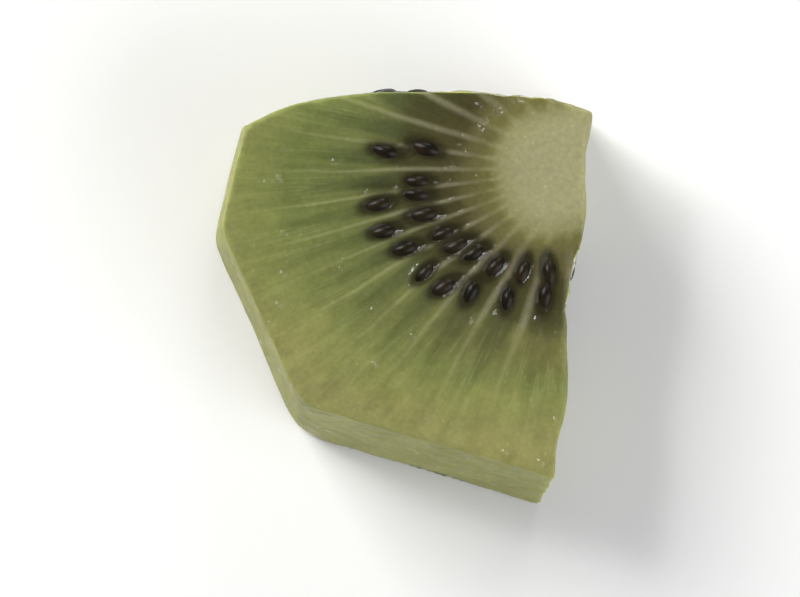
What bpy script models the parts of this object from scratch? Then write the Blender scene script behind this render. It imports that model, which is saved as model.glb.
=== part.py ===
"""A chunk of peeled kiwi fruit, as it is chopped for a pot of fruit.

The fruit is peeled with flat strokes of a knife. It is then cut crosswise into a thick slice, and the
slice is cut twice lengthwise, which leaves a block of a little over a quarter. The pale core runs
through the block, along the corner where the two lengthwise cuts meet. The seeds lie in narrow
chambers round the core, and those that the knife met stand out a little from the cut faces.

The fruit's long axis is vertical, and the block rests on its lower crosswise cut. The meshes are made
round that axis. The objects are then moved so that the origin is under the middle of the block.
"""

import math
import random

import bmesh
import bpy
from mathutils import Matrix, Vector, noise

MM = 0.001
UP = Vector((0.0, 0.0, 1.0))

# The whole fruit: an oval barrel, widest near the block's lower end
FRUIT_LONG_RADIUS = 26.4 * MM
FRUIT_SHORT_RADIUS = 25.4 * MM
FRUIT_HALF_LENGTH = 33.0 * MM
FRUIT_FULLNESS = 3.0
FRUIT_WIDEST_AT = -2.0 * MM
OVAL_TURN = math.radians(15)

# The block: its thickness, and its two lengthwise cuts as (way it faces, distance from the axis, lean)
THICKNESS = 17.0 * MM
RIGHT_CUT = (math.radians(-5.6), 1.1 * MM, math.radians(-1.5))
UPPER_CUT = (math.radians(92.0), 3.74 * MM, math.radians(1.5))

# Neither lengthwise cut is quite straight: one is bowed, and the knife swayed on the other
UPPER_BOW = 2.0 * MM
UPPER_BOW_MIDDLE = -10.4 * MM
UPPER_BOW_HALF = 11.9 * MM
RIGHT_SWAY = 0.30 * MM
RIGHT_SWAY_WAVE = 12.0 * MM
RIGHT_SWAY_START = -4.0 * MM

# The peeling strokes that meet the block, each (way it faces, distance from the axis at the top, lean)
PEEL_STROKES = (
    (math.radians(166.5), 22.4 * MM, math.radians(3.0)),
    (math.radians(204.0), 23.6 * MM, math.radians(4.5)),
    (math.radians(253.5), 20.8 * MM, math.radians(8.5)),
)

# The core, an oval column, and the gap that keeps it clear of the flesh
CORE_LONG_RADIUS = 5.4 * MM
CORE_SHORT_RADIUS = 4.7 * MM
CORE_GAP = 0.3 * MM
CORE_SIDES = 48

# The seeds: a flattened drop whose point is towards the core
SEED_LENGTH = 2.3 * MM
SEED_WIDTH = 1.5 * MM
SEED_THICKNESS = 1.1 * MM
SEED_SIDES = 6
SEED_RINGS = 4
SEED_STANDS_OUT = 0.30 * MM
SEED_KEPT_CLEAR = 1.3 * MM

# The chambers that hold the seeds: two seeds deep, in a ring that is oval as the fruit is
CHAMBERS = 32
RING_LONG_RADIUS = 10.3 * MM
RING_SHORT_RADIUS = 6.6 * MM
SEED_RINGS_OUT = (1.0, 1.28)
SEED_PITCH_UP = 2.7 * MM
SEEDS_MISSING = 0.12
SEED_DRAW = 11

# The relief of the faces
SEED_HOLLOW = 0.25 * MM
CORE_CROWN = 0.12 * MM
SOFT_WAVE = 0.15 * MM
SOFT_WAVE_LENGTH = 6.0 * MM

# The skin of the solids: the grain it is worked at, and the share of its faces that is kept
GRAIN = 0.35 * MM
PEEL_SOFTENING = 24
CUT_SOFTENING = 7
FACES_KEPT = 0.17
SPARE_BELOW = 2.0 * MM


def clear_scene():
    for thing in list(bpy.data.objects):
        bpy.data.objects.remove(thing, do_unlink=True)


def material(name, colour, roughness):
    made = bpy.data.materials.new(name)
    made.use_nodes = True
    surface = made.node_tree.nodes["Principled BSDF"]
    surface.inputs["Base Color"].default_value = (*colour, 1.0)
    surface.inputs["Roughness"].default_value = roughness
    surface.inputs["Metallic"].default_value = 0.0
    return made


def object_from(name, bm, paint):
    mesh = bpy.data.meshes.new(name)
    bm.to_mesh(mesh)
    bm.free()
    mesh.materials.append(paint)
    made = bpy.data.objects.new(name, mesh)
    bpy.context.scene.collection.objects.link(made)
    return made


def apply_modifiers(thing):
    """Puts the mesh that the modifiers make in place of the object's own."""
    graph = bpy.context.evaluated_depsgraph_get()
    finished = bpy.data.meshes.new_from_object(thing.evaluated_get(graph))
    thing.modifiers.clear()
    old = thing.data
    thing.data = finished
    bpy.data.meshes.remove(old)


def way(angle, lean=0.0):
    """The unit vector that faces an angle round the axis, and looks up by the lean."""
    flat = Vector((math.cos(angle), math.sin(angle), 0.0))
    return flat * math.cos(lean) + UP * math.sin(lean)


def smooth_step(low, high, value):
    share = min(1.0, max(0.0, (value - low) / (high - low)))
    return share * share * (3 - 2 * share)


def hump(value, low, high, edge):
    """1 between low and high, falling to 0 over the edge on either side."""
    return smooth_step(low - edge, low, value) * (1 - smooth_step(high, high + edge, value))


def oval(angle, long_radius, short_radius):
    """The radius, at an angle, of an oval that is turned as the fruit is."""
    turned = angle - OVAL_TURN
    across = math.hypot(short_radius * math.cos(turned), long_radius * math.sin(turned))
    return long_radius * short_radius / across


# The whole fruit and the knife


def whole_fruit():
    """A ball whose profile is filled out to a barrel and whose cross-section is oval."""
    bm = bmesh.new()
    bmesh.ops.create_uvsphere(bm, u_segments=96, v_segments=64, radius=1.0)
    for vert in bm.verts:
        height = min(1.0, abs(vert.co.z))
        around = math.atan2(vert.co.y, vert.co.x)
        radius = (1 - height**FRUIT_FULLNESS) ** (1 / FRUIT_FULLNESS)
        radius *= oval(around, FRUIT_LONG_RADIUS, FRUIT_SHORT_RADIUS)
        vert.co.x = radius * math.cos(around)
        vert.co.y = radius * math.sin(around)
        vert.co.z = FRUIT_WIDEST_AT + vert.co.z * FRUIT_HALF_LENGTH
    return bm


def cut(bm, point, facing):
    """One stroke of the knife: takes off what lies beyond the plane, and closes the cut."""
    everything = bm.verts[:] + bm.edges[:] + bm.faces[:]
    bmesh.ops.bisect_plane(bm, geom=everything, dist=1e-7, plane_co=point, plane_no=facing, clear_outer=True)
    open_edges = [edge for edge in bm.edges if edge.is_boundary]
    bmesh.ops.holes_fill(bm, edges=open_edges, sides=0)


def cut_lengthwise(bm, stroke):
    """A stroke given as (way it faces, distance from the axis at the block's top, lean)."""
    angle, distance, lean = stroke
    cut(bm, way(angle) * distance + UP * THICKNESS, way(angle, lean))


def remesh(thing, softening):
    """An even skin of small faces. Softening it rounds the edges."""
    skin = thing.modifiers.new("even_skin", "REMESH")
    skin.mode = "VOXEL"
    skin.voxel_size = GRAIN
    soften = thing.modifiers.new("soft_edges", "SMOOTH")
    soften.factor = 0.5
    soften.iterations = softening
    apply_modifiers(thing)


def peeled_slice(paint):
    """A thick slice of the fruit with its peeling strokes, left tall so that its ends stay sharp."""
    bm = whole_fruit()
    for stroke in PEEL_STROKES:
        cut_lengthwise(bm, stroke)
    cut(bm, UP * 2 * THICKNESS, UP)
    cut(bm, -UP * THICKNESS / 2, -UP)
    peeled = object_from("flesh", bm, paint)
    remesh(peeled, PEEL_SOFTENING)
    return peeled


def chop(block):
    """The two lengthwise cuts and the upper crosswise cut, with a little to spare at the lower end."""
    bm = bmesh.new()
    bm.from_mesh(block.data)
    cut_lengthwise(bm, RIGHT_CUT)
    cut_lengthwise(bm, UPPER_CUT)
    cut(bm, UP * THICKNESS, UP)
    cut(bm, -UP * SPARE_BELOW, -UP)
    bm.to_mesh(block.data)
    bm.free()
    remesh(block, CUT_SOFTENING)


def cut_base(block):
    """The lower crosswise cut, last of all, so that it is truly flat."""
    bm = bmesh.new()
    bm.from_mesh(block.data)
    cut(bm, UP * 0.0, -UP)
    bm.to_mesh(block.data)
    bm.free()


# The relief of the cut faces


def knife_sway(point):
    """How far the skin at a point lies from a straight cut, across the fruit."""
    along = abs(point.x - UPPER_BOW_MIDDLE) / UPPER_BOW_HALF
    bow = UPPER_BOW * max(0.0, 1 - along**3) * smooth_step(-1.0 * MM, 3.0 * MM, point.y)
    swing = math.cos(2 * math.pi * (point.y - RIGHT_SWAY_START) / RIGHT_SWAY_WAVE)
    sway = RIGHT_SWAY * swing * smooth_step(-4.0 * MM, 0.0, point.x)
    return Vector((sway * hump(point.y, -17.0 * MM, 0.0, 4.0 * MM), bow, 0.0))


def ring_place(point):
    """How far out a point lies, as a share of the radius of the inner ring of seeds."""
    around = math.atan2(point.y, point.x)
    return math.hypot(point.x, point.y) / oval(around, RING_LONG_RADIUS, RING_SHORT_RADIUS)


def cut_relief(point):
    """The core stands a little proud of a cut, and the soft seed chambers lie a little low."""
    out = ring_place(point)
    return CORE_CROWN * (1 - smooth_step(0.45, 0.65, out)) - SEED_HOLLOW * hump(out, 0.95, 1.40, 0.22)


def shape_faces(block):
    """Bends the lengthwise cuts, and raises the relief of the faces."""
    faces = (UP, way(RIGHT_CUT[0], RIGHT_CUT[2]), way(UPPER_CUT[0], UPPER_CUT[2]))
    mesh = block.data
    moves = []
    for vert in mesh.vertices:
        normal = vert.normal.copy()
        on_cut = max(smooth_step(0.6, 0.95, normal.dot(facing)) for facing in faces)
        amount = cut_relief(vert.co) * on_cut + SOFT_WAVE * noise.noise(vert.co / SOFT_WAVE_LENGTH)
        moves.append(knife_sway(vert.co) + normal * amount)
    for vert, move in zip(mesh.vertices, moves):
        vert.co += move
    mesh.update()


def thin_out(block):
    """Keeps the faces that the form needs, most of them along its edges."""
    thin = block.modifiers.new("thin_out", "DECIMATE")
    thin.ratio = FACES_KEPT
    apply_modifiers(block)


# The core


def core_prism(name, margin, paint):
    """A tall prism of the core's oval outline, moved out by the margin."""
    bm = bmesh.new()
    outline = []
    for i in range(CORE_SIDES):
        angle = 2 * math.pi * i / CORE_SIDES
        radius = oval(angle, CORE_LONG_RADIUS, CORE_SHORT_RADIUS) + margin
        outline.append(bm.verts.new(way(angle) * radius - UP * THICKNESS))
    floor = bm.faces.new(outline)
    raised = bmesh.ops.extrude_face_region(bm, geom=[floor])
    tops = [item for item in raised["geom"] if isinstance(item, bmesh.types.BMVert)]
    bmesh.ops.translate(bm, verts=tops, vec=UP * 3 * THICKNESS)
    bmesh.ops.recalc_face_normals(bm, faces=bm.faces)
    return object_from(name, bm, paint)


def boolean(thing, operation, cutter):
    step = thing.modifiers.new(operation.lower(), "BOOLEAN")
    step.operation = operation
    step.solver = "EXACT"
    step.object = cutter
    apply_modifiers(thing)
    bpy.data.objects.remove(cutter, do_unlink=True)


def split_off_core(block, flesh_paint, core_paint):
    """Parts the block into the flesh and the core, with a narrow gap between them."""
    core = bpy.data.objects.new("core", block.data.copy())
    bpy.context.scene.collection.objects.link(core)
    core.data.materials.clear()
    core.data.materials.append(core_paint)
    boolean(core, "INTERSECT", core_prism("core_plug", -CORE_GAP / 2, core_paint))
    boolean(block, "DIFFERENCE", core_prism("core_hole", CORE_GAP / 2, flesh_paint))
    return core


# The seeds


def seed_mesh(paint):
    """One seed along +X: a flattened ball, drawn out to a point towards -X, with its width along Z."""
    bm = bmesh.new()
    bmesh.ops.create_uvsphere(bm, u_segments=SEED_SIDES, v_segments=SEED_RINGS, radius=0.5)
    bmesh.ops.rotate(bm, verts=bm.verts, matrix=Matrix.Rotation(math.pi / 2, 3, "Y"))
    for vert in bm.verts:
        narrowed = 1 - 0.45 * smooth_step(0.1, 0.5, -vert.co.x)
        vert.co.x *= SEED_LENGTH
        vert.co.y *= SEED_THICKNESS * narrowed
        vert.co.z *= SEED_WIDTH * narrowed
    mesh = bpy.data.meshes.new("seed")
    bm.to_mesh(mesh)
    bm.free()
    mesh.materials.append(paint)
    return mesh


def chamber_angle(number):
    """The chambers are even along their oval ring, so they stand closer at its far ends."""
    even = 2 * math.pi * (number + 0.5) / CHAMBERS
    flattened = math.atan2(RING_SHORT_RADIUS * math.sin(even), RING_LONG_RADIUS * math.cos(even))
    return flattened + OVAL_TURN


def top_seeds(draw):
    """The seeds in the upper crosswise cut, as (place, way the blunt end points, way the cut faces)."""
    found = []
    for number in range(CHAMBERS):
        for share in SEED_RINGS_OUT:
            angle = chamber_angle(number) + draw.uniform(-0.03, 0.03)
            radius = share * oval(angle, RING_LONG_RADIUS, RING_SHORT_RADIUS) + draw.uniform(-0.4, 0.4) * MM
            pointing = way(angle + draw.uniform(-0.12, 0.12))
            missing = draw.random() < SEEDS_MISSING
            if not missing:
                found.append((way(angle) * radius + UP * THICKNESS, pointing, UP))
    return found


def side_seeds(draw, stroke, turn):
    """The seeds in a lengthwise cut. They lie a quarter turn, left or right, from the way it faces."""
    angle, distance, lean = stroke
    outwards = angle + turn * math.pi / 2
    ring = oval(outwards, RING_LONG_RADIUS, RING_SHORT_RADIUS)
    found = []
    for column, share in enumerate(SEED_RINGS_OUT):
        height = (0.6 + 0.5 * column) * SEED_PITCH_UP
        while height < THICKNESS:
            level = height + draw.uniform(-0.35, 0.35) * MM
            reach = share * ring + draw.uniform(-0.35, 0.35) * MM
            missing = draw.random() < SEEDS_MISSING
            place = way(angle) * (distance + (THICKNESS - level) * math.tan(lean)) + way(outwards) * reach
            if not missing:
                found.append((place + UP * level, way(outwards), way(angle, lean)))
            height += SEED_PITCH_UP
    return found


def seed_places():
    draw = random.Random(SEED_DRAW)
    return top_seeds(draw) + side_seeds(draw, RIGHT_CUT, -1) + side_seeds(draw, UPPER_CUT, 1)


def clear_of_edges(place, facing):
    """True for a seed that doesn't stick out over an edge of its cut face."""
    if facing != UP:
        return SEED_KEPT_CLEAR < place.z < THICKNESS - SEED_KEPT_CLEAR
    sides = (RIGHT_CUT, UPPER_CUT)
    return all(way(angle).dot(place) < distance - SEED_KEPT_CLEAR for angle, distance, lean in sides)


def seed_frame(skin, pointing, facing):
    """The place and turn of a seed that stands out of the skin: flat side up, or on edge in a side."""
    across = facing.cross(pointing).normalized()
    ahead = across.cross(facing)
    if facing == UP:
        axes = (ahead, across, facing)
        sunk = SEED_WIDTH / 2
    else:
        axes = (ahead, facing, ahead.cross(facing))
        sunk = SEED_THICKNESS / 2
    centre = skin + facing * (SEED_STANDS_OUT - sunk)
    return Matrix.Translation(centre) @ Matrix(axes).transposed().to_4x4()


def add_seeds(flesh, paint):
    """Sets a seed into the skin at each place, and joins them all to the flesh."""
    shape = seed_mesh(paint)
    group = bpy.data.collections.new("seeds")
    bpy.context.scene.collection.children.link(group)
    for number, (place, pointing, facing) in enumerate(seed_places()):
        if clear_of_edges(place, facing):
            skin = flesh.closest_point_on_mesh(place + knife_sway(place))[1]
            seed = bpy.data.objects.new(f"seed_{number:03d}", shape)
            seed.matrix_world = seed_frame(skin, pointing, facing)
            group.objects.link(seed)
    join = flesh.modifiers.new("seeds", "BOOLEAN")
    join.operation = "UNION"
    join.solver = "EXACT"
    join.operand_type = "COLLECTION"
    join.collection = group
    join.material_mode = "TRANSFER"
    apply_modifiers(flesh)
    for seed in list(group.objects):
        bpy.data.objects.remove(seed, do_unlink=True)
    bpy.data.collections.remove(group)


def put_origin_under_middle(things):
    corners = [vert.co for thing in things for vert in thing.data.vertices]
    middle_x = (min(c.x for c in corners) + max(c.x for c in corners)) / 2
    middle_y = (min(c.y for c in corners) + max(c.y for c in corners)) / 2
    for thing in things:
        thing.location = (-middle_x, -middle_y, 0.0)


def main():
    clear_scene()
    flesh_paint = material("kiwi_flesh", (0.22, 0.25, 0.07), 0.32)
    core_paint = material("kiwi_core", (0.42, 0.40, 0.22), 0.40)
    seed_paint = material("kiwi_seed", (0.012, 0.010, 0.006), 0.25)
    flesh = peeled_slice(flesh_paint)
    chop(flesh)
    shape_faces(flesh)
    thin_out(flesh)
    cut_base(flesh)
    core = split_off_core(flesh, flesh_paint, core_paint)
    add_seeds(flesh, seed_paint)
    put_origin_under_middle((flesh, core))


main()
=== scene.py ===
# %% [markdown]
# # A chunk of peeled kiwi fruit
#
# The chunk is a block of a thick slice: two crosswise cuts, two lengthwise cuts and a few flat peeling
# strokes. Everything on it follows from the way a kiwi fruit is built. A pale core runs along the fruit's
# axis, narrow chambers with seeds stand round it like the spokes of a wheel, and green flesh lies outside.
# So the shape is made as a cook makes it, whole fruit first and knife second, and the colours are painted
# in the fruit's own terms: how far out from the axis, how far round it, how far along it.
#
# The first cell loads the measured model. It has the same size and place as everything made here.

# %% Load the measured model
import math
import random

import bpy
import numpy as np
from mathutils import Euler, Matrix, Vector, noise


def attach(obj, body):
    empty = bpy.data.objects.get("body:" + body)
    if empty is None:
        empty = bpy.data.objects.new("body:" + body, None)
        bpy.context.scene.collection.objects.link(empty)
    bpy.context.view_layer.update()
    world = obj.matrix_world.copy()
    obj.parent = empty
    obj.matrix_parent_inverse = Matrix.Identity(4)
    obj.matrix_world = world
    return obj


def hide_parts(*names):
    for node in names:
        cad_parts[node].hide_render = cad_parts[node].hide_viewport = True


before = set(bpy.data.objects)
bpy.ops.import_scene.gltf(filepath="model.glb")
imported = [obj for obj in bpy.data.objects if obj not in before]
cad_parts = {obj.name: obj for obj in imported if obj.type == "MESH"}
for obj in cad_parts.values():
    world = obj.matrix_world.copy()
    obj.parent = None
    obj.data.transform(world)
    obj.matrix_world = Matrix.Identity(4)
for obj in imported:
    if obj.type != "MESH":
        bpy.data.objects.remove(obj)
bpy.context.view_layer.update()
MM = 0.001
print("measured nodes:", sorted(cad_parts))

# %% [markdown]
# ## Working as by hand
#
# Every modelling tool acts on what is selected. These helpers pick out one object, start and end edit mode,
# and turn a modifier into plain mesh, so that the cells below read like the steps of a person at work. A
# single point is easiest to pick in object mode, where its place can be read, and the tool then acts on it
# in edit mode.

# %% Helpers for selecting and for modifiers
UP = Vector((0.0, 0.0, 1.0))


def only(thing):
    """Selects one object alone and makes it the active one."""
    bpy.ops.object.select_all(action="DESELECT")
    thing.select_set(True)
    bpy.context.view_layer.objects.active = thing


def edit(thing):
    """Opens one object in edit mode with all of its mesh selected."""
    only(thing)
    bpy.ops.object.mode_set(mode="EDIT")
    bpy.ops.mesh.select_all(action="SELECT")


def done():
    """Closes edit mode."""
    bpy.ops.object.mode_set(mode="OBJECT")


def edit_points(thing, chosen):
    """Opens one object in edit mode with only those points selected whose place passes a test."""
    edit(thing)
    bpy.ops.mesh.select_all(action="DESELECT")
    done()
    for vert in thing.data.vertices:
        vert.select = chosen(vert.co)
    bpy.ops.object.mode_set(mode="EDIT")


def finish_with(thing, kind, **settings):
    """Adds one modifier with its settings and applies it."""
    only(thing)
    bpy.ops.object.modifier_add(type=kind)
    modifier = thing.modifiers[-1]
    for name, value in settings.items():
        setattr(modifier, name, value)
    bpy.ops.object.modifier_apply(modifier=modifier.name)


def way(angle, lean=0.0):
    """The unit vector that faces an angle round the fruit's axis, and looks up by the lean."""
    flat = Vector((math.cos(angle), math.sin(angle), 0.0))
    return flat * math.cos(lean) + UP * math.sin(lean)


print("hand tools are ready")

# %% [markdown]
# ## The whole fruit
#
# A kiwi fruit is a full oval barrel, a little flattened. It could be a ball scaled along its length, but a
# ball is too pointed: the sides of a real fruit run almost straight over the middle third. So half of the
# outline is drawn from a formula for a filled-out oval, and spun round the axis. The spun barrel is then
# squeezed a little in one direction and turned, because the fruit isn't quite round across.

# %% Spin the whole fruit
LONG_RADIUS = 26.4 * MM
SHORT_RADIUS = 25.4 * MM
HALF_LENGTH = 33.0 * MM
FULLNESS = 3.0
WIDEST_AT = -2.0 * MM
OVAL_TURN = math.radians(15)
OUTLINE_STEPS = 48
SPIN_STEPS = 96


def outline_point(step):
    """One point of the outline, from the lower end at step 0 to the upper end at the last step."""
    height = -math.cos(math.pi * step / OUTLINE_STEPS)
    radius = LONG_RADIUS * (1 - abs(height) ** FULLNESS) ** (1 / FULLNESS)
    return Vector((radius, 0.0, WIDEST_AT + HALF_LENGTH * height))


bpy.ops.object.select_all(action="DESELECT")
bpy.ops.mesh.primitive_plane_add(size=MM, location=(0, 0, 0))
kiwi = bpy.context.object
kiwi.name = "kiwi_flesh_and_core"
edit(kiwi)
bpy.ops.mesh.merge(type="CENTER")
bpy.ops.transform.translate(value=outline_point(0))
for step in range(OUTLINE_STEPS):
    move = outline_point(step + 1) - outline_point(step)
    bpy.ops.mesh.extrude_region_move(TRANSFORM_OT_translate={"value": move})
bpy.ops.mesh.select_all(action="SELECT")
bpy.ops.mesh.spin(steps=SPIN_STEPS, angle=2 * math.pi, center=(0, 0, 0), axis=(0, 0, 1))
bpy.ops.mesh.select_all(action="SELECT")
bpy.ops.mesh.remove_doubles(threshold=0.001 * MM)
bpy.ops.mesh.normals_make_consistent(inside=False)
bpy.ops.transform.resize(value=(1, SHORT_RADIUS / LONG_RADIUS, 1), center_override=(0, 0, 0))
bpy.ops.transform.rotate(value=-OVAL_TURN, orient_axis="Z", center_override=(0, 0, 0))
done()
furthest = max(kiwi.data.vertices, key=lambda vert: math.hypot(vert.co.x, vert.co.y)).co
print("fruit spun, its long side is turned by", round(math.degrees(math.atan(furthest.y / furthest.x)), 1))

# %% [markdown]
# ## Peeling
#
# A kiwi fruit is peeled with flat strokes along its length, which leave broad flat strips with soft ridges
# between them. Each stroke is one bisect: a plane that takes off all that lies beyond it and closes the
# wound. Only a tall slice of the fruit is kept, longer than the chunk, so that its ends stay clear of the
# work. An even skin of small faces then replaces the long thin ones, and smoothing it rounds the ridges. A
# bevel could round them too, but the fine skin is needed anyway, for the relief further below.

# %% Peel the fruit
THICKNESS = 17.0 * MM
PEEL_STROKES = (
    (math.radians(166.5), 22.4 * MM, math.radians(3.0)),
    (math.radians(204.0), 23.6 * MM, math.radians(4.5)),
    (math.radians(253.5), 20.8 * MM, math.radians(8.5)),
)
COARSE_GRAIN = 0.35 * MM
RIDGE_SMOOTHING = 24


def cut(point, facing):
    """One stroke of the knife through the mesh in edit mode."""
    bpy.ops.mesh.select_all(action="SELECT")
    bpy.ops.mesh.bisect(plane_co=point, plane_no=facing, use_fill=True, clear_outer=True, threshold=1e-7)


def cut_lengthwise(stroke):
    """A stroke given as (way it faces, distance from the axis at the chunk's top, lean)."""
    angle, distance, lean = stroke
    cut(way(angle) * distance + UP * THICKNESS, way(angle, lean))


edit(kiwi)
for stroke in PEEL_STROKES:
    cut_lengthwise(stroke)
cut(UP * 2 * THICKNESS, UP)
cut(-UP * THICKNESS / 2, -UP)
done()
finish_with(kiwi, "REMESH", mode="VOXEL", voxel_size=COARSE_GRAIN)
finish_with(kiwi, "SMOOTH", factor=0.5, iterations=RIDGE_SMOOTHING)
print("peeled:", len(kiwi.data.polygons), "faces")

# %% [markdown]
# ## Chopping
#
# Four more strokes leave the chunk: two along the fruit, beside the core, and two across it. A box and one
# boolean could make all four cuts at once, but two of them lean a little, and a stroke with its own angle,
# distance and lean is easier to place. Cuts through soft wet fruit keep crisp but not sharp edges, so the
# new skin is finer, and is smoothed far less.

# %% Chop the chunk
RIGHT_CUT = (math.radians(-5.6), 1.1 * MM, math.radians(-1.5))
UPPER_CUT = (math.radians(92.0), 3.74 * MM, math.radians(1.5))
GRAIN = 0.18 * MM
EDGE_SMOOTHING = 9

edit(kiwi)
cut_lengthwise(RIGHT_CUT)
cut_lengthwise(UPPER_CUT)
cut(UP * THICKNESS, UP)
cut(Vector((0, 0, 0)), -UP)
done()
finish_with(kiwi, "REMESH", mode="VOXEL", voxel_size=GRAIN)
finish_with(kiwi, "SMOOTH", factor=0.5, iterations=EDGE_SMOOTHING)
print("chopped:", len(kiwi.data.polygons), "faces")

# %% [markdown]
# ## Where a point lies in the fruit
#
# Core, seeds, rays and flesh are all laid out round the axis, so most of the work below asks the same
# questions of a point: how far out is it, and how far round? The ring of seeds is an oval, so distance is
# counted as a share of that oval: 1 is the inner row of seeds and 1.28 the outer row. The fruit itself is
# rounder than the ring, so the peeled side lies anywhere from 2.3 to 3.5. A loop over the points could ask
# one after the other, but arrays answer for all of them at once.

# %% Measure places in the fruit
RING_LONG = 10.3 * MM
RING_SHORT = 6.6 * MM
SEED_ROWS = (1.0, 1.28)
CHAMBERS = 32


def smooth_step(low, high, values):
    """0 below low, 1 above high, and a soft step between them."""
    share = np.clip((values - low) / (high - low), 0.0, 1.0)
    return share * share * (3 - 2 * share)


def hump(values, low, high, edge):
    """1 between low and high, falling to 0 over the edge on either side."""
    return smooth_step(low - edge, low, values) * (1 - smooth_step(high, high + edge, values))


def ring_radius(angle):
    """How far from the axis the inner row of seeds lies at an angle."""
    turned = angle - OVAL_TURN
    return RING_LONG * RING_SHORT / np.hypot(RING_SHORT * np.cos(turned), RING_LONG * np.sin(turned))


def ring_place(points):
    """Where each point lies along and across the oval of seeds, as shares of its two radii."""
    along = points[:, 0] * math.cos(OVAL_TURN) + points[:, 1] * math.sin(OVAL_TURN)
    across = points[:, 1] * math.cos(OVAL_TURN) - points[:, 0] * math.sin(OVAL_TURN)
    return along / RING_LONG, across / RING_SHORT


def ring_share(points):
    """How far out each point lies, as a share of the inner row of seeds."""
    return np.hypot(*ring_place(points))


def wall_share(points):
    """0 in the middle of a seed chamber, and 1 on the thin wall between two chambers."""
    along, across = ring_place(points)
    turns = np.arctan2(across, along) / (2 * math.pi)
    return 2 * np.abs((turns * CHAMBERS) % 1.0 - 0.5)


def at_points(thing, what):
    """One row for each point of the mesh: "co" is its place, and "normal" the way it faces."""
    flat = np.empty(len(thing.data.vertices) * 3)
    thing.data.vertices.foreach_get(what, flat)
    return flat.reshape(-1, 3)


def move_points(thing, points):
    """Puts the mesh's points at new places."""
    thing.data.vertices.foreach_set("co", points.ravel())
    thing.data.update()


shares = ring_share(at_points(kiwi, "co"))
print("ring shares from", round(float(shares.min()), 2), "to", round(float(shares.max()), 2))

# %% [markdown]
# ## A knife that isn't quite true
#
# Neither lengthwise cut is flat. One is bowed, fullest in its middle, and on the other the knife swayed a
# little. A curved blade could be modelled and taken off the chunk, but a push by a formula is simpler: it
# moves the skin as a soft brush would, and fades out before it reaches the peeled side.

# %% Bow one cut and sway the other
BOW = 2.0 * MM
BOW_MIDDLE = -10.4 * MM
BOW_HALF = 11.9 * MM
BOW_FULLNESS = 3
BOW_COMES_IN = (-1.0 * MM, 3.0 * MM)
SWAY = 0.30 * MM
SWAY_WAVE = 12.0 * MM
SWAY_START = -4.0 * MM
SWAY_COMES_IN = (-4.0 * MM, 0.0)
SWAY_STRETCH = (-17.0 * MM, 0.0)
SWAY_FADE = 4.0 * MM


def knife_sway(points):
    """How far the skin at each point lies from a straight cut."""
    x, y = points[:, 0], points[:, 1]
    arch = np.clip(1 - np.abs((x - BOW_MIDDLE) / BOW_HALF) ** BOW_FULLNESS, 0, 1)
    bow = BOW * arch * smooth_step(*BOW_COMES_IN, y)
    swing = np.cos(2 * math.pi * (y - SWAY_START) / SWAY_WAVE) * smooth_step(*SWAY_COMES_IN, x)
    sway = SWAY * swing * hump(y, *SWAY_STRETCH, SWAY_FADE)
    return np.stack((sway, bow, np.zeros(len(points))), axis=1)


points = at_points(kiwi, "co")
push = knife_sway(points)
move_points(kiwi, points + push)
print("largest push, mm:", round(float(np.abs(push).max() / MM), 2))

# %% [markdown]
# ## Relief of the faces
#
# On a fresh cut the firm core stands a little proud, and the soft chambers sink. The walls between the
# chambers stay up as fine ribs, which is what makes the rays catch the light. The whole skin also has slow
# waves, as soft fruit does, and the edges are a little torn. A bump in the material could feign all this,
# but it would leave the outline smooth, so each point really moves along its normal. Which face a point
# belongs to is read from its normal too, so the relief fades out over the edges by itself: a band gives the
# two cosines, between normal and face, at which a point starts to belong to the face and fully does.

# %% Raise the relief
CORE_CROWN = 0.12 * MM
CROWN_EDGE = (0.45, 0.65)
SEED_HOLLOW = 0.25 * MM
HOLLOW_REACH = (0.95, 1.40)
HOLLOW_FADE = 0.22
RIB = 0.07 * MM
RIB_FLANK = (0.45, 0.9)
RIB_REACH = (0.8, 1.6)
RIB_FADE = 0.25
SOFT_WAVE = 0.15 * MM
SOFT_WAVE_LENGTH = 6.0 * MM
FINE_WAVE = 0.05 * MM
FINE_WAVE_LENGTH = 1.3 * MM
TORN_EDGE = 0.13 * MM
TORN_EDGE_LENGTH = 0.8 * MM
CUT_FACES = (UP, way(RIGHT_CUT[0], RIGHT_CUT[2]), way(UPPER_CUT[0], UPPER_CUT[2]))
PEEL_FACES = [way(angle, lean) for angle, distance, lean in PEEL_STROKES]
CUT_BAND = (0.6, 0.95)
EDGE_BAND = (0.75, 0.97)
BASE_BAND = (0.3, 0.8)


def on_faces(normals, faces, band):
    """1 where a point belongs to one of the faces, 0 where it doesn't, and between them over the edge."""
    return np.max([smooth_step(*band, normals @ np.array(face)) for face in faces], axis=0)


def on_edge(normals):
    """1 on the edges between the faces, and 0 inside them."""
    return 1 - on_faces(normals, (*CUT_FACES, -UP, *PEEL_FACES), EDGE_BAND)


def waves(points, length):
    """Soft hills and hollows from about -1 to 1, as far apart as the length."""
    return np.array([noise.noise(Vector(point) / length) for point in points])


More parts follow.
